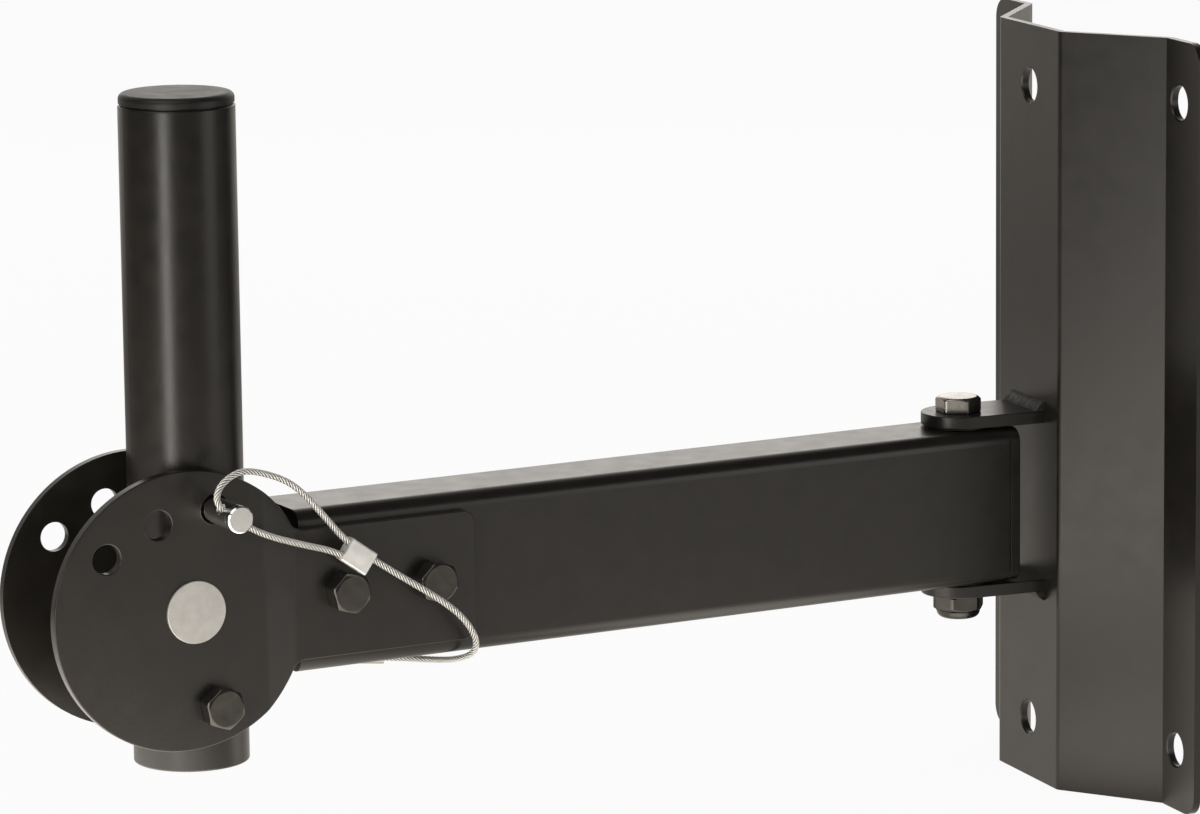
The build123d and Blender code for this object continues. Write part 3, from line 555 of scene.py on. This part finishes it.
class BRACKET_OT_hinge_hardware(bpy.types.Operator):
    """Gives the hinge's bolt and nut their zinc plating, and its washers their nylon"""

    bl_idname = "bracket.hinge_hardware"
    bl_label = "Hinge hardware"

    def execute(self, context):
        finish = context.scene.bracket_finish
        # Bright zinc plating on a forged head: a soft metal sheen, a little cloudy
        zinc = finish_material(
            "zinc_plating", (finish.zinc, hex_colour("#a5a39d")), 1.0, (0.22, 0.34), 0.6, 0.006
        )
        dress(["hinge_sleeve", "tail_sleeves", "lanyard_lug", "lug_rivet"], zinc)
        level = np.array([1.0, 0.0, 0.0])
        ahead = np.array([0.0, 1.0, 0.0])
        rings = bolt_rings(*HINGE_BOLT, HINGE_BOLT_LENGTH)
        shell = turned_to(rings, (HINGE + UP * HINGE_HEAD_RISE) * MM, level, ahead, UP)
        fasten("zinc_hinge_bolt", [(shell, False)], zinc, "wall_bracket", "hinge_bolt")
        rings = nut_rings(*HINGE_NUT, LOCK_COLLAR)
        shell = turned_to(rings, (HINGE + UP * HINGE_NUT_RISE) * MM, level, -ahead, -UP)
        # The lock nut's zinc with painted shade: darker than the bolt's zinc, standing in for the dark
        # reflection that it shows, so that only its edges are bright
        zinc_painted_darker = finish_material(
            "zinc_with_painted_dark_reflection", (hex_colour("#444341"), hex_colour("#53524f")), 1.0, (0.12, 0.18), 0.6, 0.004
        )
        fasten("zinc_hinge_nut", [(shell, True)], zinc_painted_darker, "wall_bracket", "hinge_nut")
        # Moulded nylon: matt, without a grain that shows
        nylon = finish_material(
            "moulded_nylon", (hex_colour("#161514"), hex_colour("#1c1b1a")), 0.0, (0.5, 0.6), 0.5, 0.004
        )
        dress(["hinge_washer_upper", "hinge_washer_lower", "pivot_sleeve"], nylon)
        return {"FINISHED"}


class BRACKET_OT_head_hardware(bpy.types.Operator):
    """Gives the tail and pivot bolts, their washers and nuts their black oxide"""

    bl_idname = "bracket.head_hardware"
    bl_label = "Head hardware"

    def execute(self, context):
        # Black oxide on a forged bolt: dark and oily, glossier than the coat round it
        oxide = finish_material(
            "black_oxide", (hex_colour("#403e3b"), hex_colour("#4f4d49")), 0.75, (0.16, 0.24), 0.5, 0.01
        )
        dress(["tail_washers", "pivot_washer"], oxide)
        for name, bolt, length, nut, nut_side, places, collar, bolt_node, nut_node in (
            (
                "tail", TAIL_BOLT, TAIL_BOLT_LENGTH, TAIL_NUT, TAIL_NUT_SIDE, TAIL_BOLTS_AT,
                0.0, "tail_bolts", "tail_nuts",
            ),
            (
                "pivot", PIVOT_BOLT, PIVOT_BOLT_LENGTH, PIVOT_NUT, PIVOT_NUT_SIDE, [PIVOT_BOLT_AT],
                LOCK_COLLAR, "pivot_bolt", "pivot_nut",
            ),
        ):
            rings = bolt_rings(*bolt, length)
            shells = [(turned_to(rings, arm_point(*place), UP, ALONG, ACROSS), False) for place in places]
            fasten(f"oxide_{name}_bolts", shells, oxide, "arm", bolt_node)
            rings = nut_rings(*nut, collar)
            shells = [
                (turned_to(rings, arm_point(ahead, nut_side, rise), ALONG, UP, -ACROSS), True)
                for ahead, side, rise in places
            ]
            fasten(f"oxide_{name}_nuts", shells, oxide, "arm", nut_node)
        return {"FINISHED"}


class BRACKET_OT_plastic_plugs(bpy.types.Operator):
    """Gives the pole's cap and the arm's plug their moulded plastic"""

    bl_idname = "bracket.plastic_plugs"
    bl_label = "Plastic plugs"

    def execute(self, context):
        # Moulded polyethylene: smooth and half glossy
        plastic = finish_material(
            "moulded_polyethylene", (hex_colour("#151311"), hex_colour("#1a1815")), 0.0,
            (0.44, 0.52), 0.7, 0.004,
        )
        dress(["pole_cap", "arm_tip_plug"], plastic)
        return {"FINISHED"}


class BRACKET_OT_bright_parts(bpy.types.Operator):
    """Gives the lock pin, the round plate and the ferrule their bare metals"""

    bl_idname = "bracket.bright_parts"
    bl_label = "Bright parts"

    def execute(self, context):
        finish = context.scene.bracket_finish
        # Turned and chromed steel: a clear mirror with faint turning marks
        chrome = finish_material(
            "turned_chrome", (finish.chrome, hex_colour("#f8f8f7")), 1.0, (0.14, 0.22), 0.4, 0.001
        )
        dress(["lock_pin"], chrome)
        # Satin aluminium sheet, finely blasted
        satin = finish_material(
            "satin_aluminium", (hex_colour("#b8b7b4"), hex_colour("#c3c2bf")), 0.8, (0.42, 0.5), 0.35, 0.004
        )
        dress(["badge"], satin)
        # Soft bare aluminium, squeezed on the rope: pale, with small dents from the tool
        bare = finish_material(
            "crimped_aluminium", (hex_colour("#dddcd9"), hex_colour("#f1f0ed")), 0.6, (0.4, 0.55), 0.4, 0.03
        )
        dress(["lanyard_ferrule"], bare)
        return {"FINISHED"}


class BRACKET_OT_lay_rope(bpy.types.Operator):
    """Lays the stranded wire rope from its lug, through the ferrule, round by the pin's eye and back"""

    bl_idname = "bracket.lay_rope"
    bl_label = "Wire rope"

    def route(self):
        """The rope's control points in metres, as the solid's route has them."""
        forward = ALONG * math.cos(FERRULE_TURN) + UP * math.sin(FERRULE_TURN)
        rise = UP * math.cos(FERRULE_TURN) - ALONG * math.sin(FERRULE_TURN)
        ferrule = arm_point(*FERRULE_AT)
        mouth_over = ferrule + (forward * FERRULE_MOUTH + rise * STRAND_OFFSET) * MM
        mouth_under = ferrule + (forward * FERRULE_MOUTH - rise * STRAND_OFFSET) * MM
        inside = ferrule + (forward * FERRULE_INSIDE - rise * STRAND_OFFSET) * MM
        eye = arm_point(*EYE_AT)
        through = (ALONG * math.cos(EYE_TURN) + UP * math.sin(EYE_TURN)) * EYE_LEAD * MM
        start = [arm_point(x, y, ARM_UNDERSIDE + z) for x, y, z in ROPE_FROM_LUG]
        over = [arm_point(*place) for place in ROPE_OVER_PIN]
        back = [arm_point(*place) for place in ROPE_BACK]
        return np.array([*start, mouth_over, *over, eye + through, eye - through, *back, mouth_under, inside])

    def execute(self, context):
        rope = context.scene.bracket_rope
        points = nurbs_points(self.route(), ROUTE_STEPS)
        lengths = path_lengths(points)
        side, other = carried_frames(points)
        # A round strand of radius s touches its neighbours on a circle of radius R, with s = R sin(pi / n).
        # Its outline from the rope's middle is r(a) = R cos a + sqrt(s^2 - R^2 sin^2 a), for a up to
        # pi / n each way
        half = math.pi / rope.strands
        ring = rope.diameter / 2 / (1 + math.sin(half))
        strand = ring * math.sin(half)
        round_points = STRAND_POINTS * rope.strands
        turn = np.arange(round_points) * 2 * math.pi / round_points
        off = (turn + half) % (2 * half) - half
        reach = ring * np.cos(off) + np.sqrt(np.maximum(strand**2 - (ring * np.sin(off)) ** 2, 0))
        angle = turn[None, :] + (2 * math.pi * lengths / rope.lay)[:, None]
        across = side[:, None, :] * np.cos(angle)[..., None] + other[:, None, :] * np.sin(angle)[..., None]
        rings = points[:, None, :] + across * reach[None, :, None]
        # A wire's place round its strand: the point's own angle there, turned once in each quarter lay
        local = np.arctan2(reach * np.sin(off), reach * np.cos(off) - ring)
        wire = local[None, :] / (2 * math.pi) * rope.wires - (lengths / rope.lay * 4)[:, None]
        valley = np.abs(off) / half
        uv = np.stack([wire, np.broadcast_to(valley[None, :], wire.shape)], -1)
        piece = shell_piece("wire_rope", [(rings, False)], uv)
        piece.data.materials.append(self.steel())
        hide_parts("lanyard_rope")
        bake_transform(piece)
        return {"FINISHED"}

    def steel(self):
        """Bare drawn steel wire: bright, with painted shade as a fine dark line between wires."""
        material, tree = new_material("drawn_steel_wire")
        uv = add_node(tree, "ShaderNodeUVMap", uv_map="wires").outputs["UV"]
        parts = add_node(tree, "ShaderNodeSeparateXYZ", {"Vector": uv})
        turn = add_node(
            tree, "ShaderNodeMath", {0: parts.outputs["X"], 1: 2 * math.pi}, operation="MULTIPLY"
        ).outputs[0]
        wave = add_node(tree, "ShaderNodeMath", {0: turn}, operation="SINE").outputs[0]
        height = add_node(
            tree, "ShaderNodeMapRange", {"Value": wave, "From Min": -1.0, "From Max": 1.0}
        ).outputs["Result"]
        # Painted shade: a strand darkens from 0.42 to 0.9 of the way to its neighbour, and a little between
        # its wires
        crown = add_node(
            tree,
            "ShaderNodeMapRange",
            {"Value": parts.outputs["Y"], "From Min": 0.42, "From Max": 0.9, "To Min": 1.0, "To Max": 0.0},
        ).outputs["Result"]
        wires = add_node(
            tree, "ShaderNodeMapRange", {"Value": height, "From Max": 0.5, "To Min": 0.75}
        ).outputs["Result"]
        bright = add_node(tree, "ShaderNodeMath", {0: crown, 1: wires}, operation="MULTIPLY").outputs[0]
        # The painted shade in the creases mixes the colour down towards #2e2c29
        colour = add_node(
            tree,
            "ShaderNodeMix",
            {0: bright, 6: hex_colour("#2e2c29"), 7: hex_colour("#faf9f5")},
            data_type="RGBA",
        ).outputs[2]
        rough = add_node(tree, "ShaderNodeMix", {0: bright, 2: 0.6, 3: 0.34}).outputs[0]
        relief = add_node(
            tree, "ShaderNodeBump", {"Height": height, "Distance": 0.05 * MM, "Strength": 1.0}
        ).outputs["Normal"]
        inputs = {
            "Base Color": colour,
            "Roughness": rough,
            "Normal": relief,
            "Metallic": 0.5,
        }
        close_material(tree, add_node(tree, "ShaderNodeBsdfPrincipled", inputs).outputs["BSDF"])
        return material


def soft_box(name, place, aim, size, power):
    """A rectangular area light at a place, facing the point that it is aimed at."""
    back = (Vector(place) - Vector(aim)).normalized()
    data = bpy.data.lights.new(name, "AREA")
    data.shape = "RECTANGLE"
    data.size, data.size_y = size
    data.energy = power
    data.color = LAMP_COLOUR
    light = bpy.data.objects.new(name, data)
    light.location = place
    light.rotation_mode = "QUATERNION"
    light.rotation_quaternion = (-back).to_track_quat("-Z", "Y")
    light.visible_camera = False
    bpy.context.scene.collection.objects.link(light)


def direction(azimuth, elevation):
    """The unit direction at two angles in degrees; azimuth 0 is the room's side and 90 the pin's."""
    a = math.radians(azimuth)
    e = math.radians(elevation)
    return Vector((math.sin(a) * math.cos(e), -math.cos(a) * math.cos(e), math.sin(e)))


def around(azimuth, elevation, distance):
    """A place at a direction and a distance from the point that the soft boxes surround."""
    return Vector(LIT_MIDDLE) + direction(azimuth, elevation) * distance


class BRACKET_OT_stage(bpy.types.Operator):
    """Sets up the camera, the pale floor, the soft boxes and the world"""

    bl_idname = "bracket.stage"
    bl_label = "Stage"

    def camera(self):
        """The camera: it looks along -d for the direction d to it, with x = f x up, turned by the roll."""
        roll = math.radians(CAMERA_ROLL)
        back = direction(CAMERA_AZIMUTH, CAMERA_ELEVATION)
        level = (-back).cross(Vector((0, 0, 1))).normalized()
        upright = level.cross(-back)
        right = level * math.cos(roll) + upright * math.sin(roll)
        top = upright * math.cos(roll) - level * math.sin(roll)
        data = bpy.data.cameras.new("camera")
        data.sensor_fit = "HORIZONTAL"
        data.sensor_width = CAMERA_SENSOR
        data.lens = CAMERA_LENS
        data.clip_start = 0.01
        data.clip_end = 50.0
        camera = bpy.data.objects.new("camera", data)
        camera.matrix_world = Matrix.Translation(CAMERA_PLACE) @ Matrix(
            (
                (right.x, top.x, back.x, 0),
                (right.y, top.y, back.y, 0),
                (right.z, top.z, back.z, 0),
                (0, 0, 0, 1),
            )
        )
        bpy.context.scene.collection.objects.link(camera)
        bpy.context.scene.camera = camera

    def floor(self, context):
        """A level disc under the wall plate: white to the camera, but for the object's soft shadow, and a
        painted glow with pools of light in reflections.
        """
        turn = np.arange(FLOOR_POINTS) * 2 * math.pi / FLOOR_POINTS
        level = cad_low.z - FLOOR_DROP
        heights = np.full(FLOOR_POINTS, level)
        edge = np.stack([FLOOR_RADIUS * np.cos(turn), FLOOR_RADIUS * np.sin(turn), heights], -1)
        mesh = bpy.data.meshes.new("floor")
        mesh.from_pydata(edge.tolist(), [], [list(range(FLOOR_POINTS))])
        material, tree = new_material("pale_floor")
        colour = tuple(context.scene.bracket_stage.floor)
        path = add_node(tree, "ShaderNodeLightPath")
        matt = add_node(tree, "ShaderNodeBsdfDiffuse", {"Color": colour}).outputs["BSDF"]
        white = add_node(tree, "ShaderNodeEmission", {"Color": WHITE, "Strength": 1.0}).outputs[0]
        place = add_node(tree, "ShaderNodeTexCoord").outputs["Object"]
        beyond = add_node(
            tree, "ShaderNodeVectorMath", {0: place, 1: BEHIND}, operation="DOT_PRODUCT"
        ).outputs["Value"]
        strength = add_node(
            tree, "ShaderNodeMapRange", {"Value": beyond, **FAR_FLOOR}, interpolation_type="SMOOTHSTEP"
        ).outputs["Result"]
        for (x, y), inner, outer, lit, unlit in FLOOR_GLOW_POOLS:
            aside = add_node(
                tree, "ShaderNodeVectorMath", {0: place, 1: (x, y, level)}, operation="DISTANCE"
            ).outputs["Value"]
            inputs = {"Value": aside, "From Min": inner, "From Max": outer, "To Min": lit, "To Max": unlit}
            pool = add_node(
                tree, "ShaderNodeMapRange", inputs, interpolation_type="SMOOTHSTEP"
            ).outputs["Result"]
            strength = add_node(
                tree, "ShaderNodeMath", {0: strength, 1: pool}, operation="MAXIMUM"
            ).outputs[0]
        # Painted light: the floor glows for reflections, brighter behind the object and in the pools, though
        # no lamp lights it
        pale = add_node(
            tree, "ShaderNodeEmission", {"Color": MIRRORED_FLOOR_COLOUR, "Strength": strength}
        ).outputs[0]
        mirrored = add_node(
            tree,
            "ShaderNodeMath",
            {0: path.outputs["Is Glossy Ray"], 1: path.outputs["Is Transmission Ray"]},
            operation="MAXIMUM",
        ).outputs[0]
        near_white = add_node(
            tree,
            "ShaderNodeMath",
            {0: path.outputs["Is Camera Ray"], 1: CAMERA_FLOOR_SHARE},
            operation="MULTIPLY",
        ).outputs[0]
        reflected = add_node(
            tree, "ShaderNodeMath", {0: mirrored, 1: MIRRORED_FLOOR_SHARE}, operation="MULTIPLY"
        ).outputs[0]
        below = add_node(tree, "ShaderNodeMixShader", {0: reflected, 1: matt, 2: pale}).outputs[0]
        mixed = add_node(tree, "ShaderNodeMixShader", {0: near_white, 1: below, 2: white}).outputs[0]
        close_material(tree, mixed)
        mesh.materials.append(material)
        piece = bpy.data.objects.new("floor", mesh)
        context.scene.collection.objects.link(piece)

    def world(self, context):
        """A white surround behind the object that falls off to a dim room round the photograph's camera."""
        world = bpy.data.worlds.new("studio")
        context.scene.world = world
        world.use_nodes = True
        tree = world.node_tree
        tree.nodes.clear()
        way = add_node(tree, "ShaderNodeTexCoord").outputs["Generated"]
        facing = add_node(
            tree, "ShaderNodeVectorMath", {0: way, 1: BEHIND}, operation="DOT_PRODUCT"
        ).outputs["Value"]
        mirrored = add_node(
            tree, "ShaderNodeMapRange", {"Value": facing, **MIRRORED_ROOM}, interpolation_type="SMOOTHSTEP"
        ).outputs["Result"]
        path = add_node(tree, "ShaderNodeLightPath")
        glossy = add_node(
            tree,
            "ShaderNodeMath",
            {0: path.outputs["Is Glossy Ray"], 1: path.outputs["Is Transmission Ray"]},
            operation="MAXIMUM",
        ).outputs[0]
        lit = add_node(tree, "ShaderNodeMix", {0: glossy, 2: ROOM_LIGHT, 3: mirrored}).outputs[0]
        seen = add_node(
            tree, "ShaderNodeMix", {0: path.outputs["Is Camera Ray"], 2: lit, 3: 1.0}
        ).outputs[0]
        tint = add_node(
            tree, "ShaderNodeMix", {0: glossy, 6: WHITE, 7: MIRRORED_ROOM_COLOUR}, data_type="RGBA"
        ).outputs[2]
        back = add_node(tree, "ShaderNodeBackground", {"Color": tint, "Strength": seen}).outputs[0]
        add_node(tree, "ShaderNodeOutputWorld", {"Surface": back})

    def execute(self, context):
        stage = context.scene.bracket_stage
        self.camera()
        self.floor(context)
        self.world(context)
        soft_box("strip_light", (0.325, -0.605, 0.0), (0.03, -0.02, -0.03), (0.11, 0.32), stage.strip)
        soft_box("key_light", around(30, 52, 1.5), LIT_MIDDLE, (1.0, 1.0), stage.key)
        soft_box("side_light", around(130, 7, 1.2), LIT_MIDDLE, (0.6, 0.7), stage.side)
        soft_box("back_light", around(248, 17, 1.7), LIT_MIDDLE, (1.6, 0.5), stage.back)
        context.scene.view_settings.view_transform = "Standard"
        return {"FINISHED"}


STEPS = (
    "stage",
    "lay_rope",
    "coated_steel",
    "hinge_hardware",
    "head_hardware",
    "plastic_plugs",
    "bright_parts",
)


class BRACKET_PT_steps(bpy.types.Panel):
    """Lists the bracket's pieces and the stage"""

    bl_idname = "BRACKET_PT_steps"
    bl_label = "Speaker wall bracket"
    bl_space_type = "VIEW_3D"
    bl_region_type = "UI"
    bl_category = "Bracket"

    def draw(self, context):
        for step in STEPS:
            self.layout.operator("bracket." + step)
        for group in ("bracket_rope", "bracket_finish", "bracket_stage"):
            settings = getattr(context.scene, group)
            box = self.layout.box()
            for name in settings.__annotations__:
                box.prop(settings, name)


CLASSES = (
    BracketRope,
    BracketFinish,
    BracketStage,
    BRACKET_OT_coated_steel,
    BRACKET_OT_hinge_hardware,
    BRACKET_OT_head_hardware,
    BRACKET_OT_plastic_plugs,
    BRACKET_OT_bright_parts,
    BRACKET_OT_lay_rope,
    BRACKET_OT_stage,
    BRACKET_PT_steps,
)


def register():
    for each in CLASSES:
        bpy.utils.register_class(each)
    bpy.types.Scene.bracket_rope = bpy.props.PointerProperty(type=BracketRope)
    bpy.types.Scene.bracket_finish = bpy.props.PointerProperty(type=BracketFinish)
    bpy.types.Scene.bracket_stage = bpy.props.PointerProperty(type=BracketStage)


def unregister():
    del bpy.types.Scene.bracket_stage
    del bpy.types.Scene.bracket_finish
    del bpy.types.Scene.bracket_rope
    for each in reversed(CLASSES):
        bpy.utils.unregister_class(each)


def main():
    register()
    for step in STEPS:
        getattr(bpy.ops.bracket, step)()


if __name__ == "__main__":
    main()
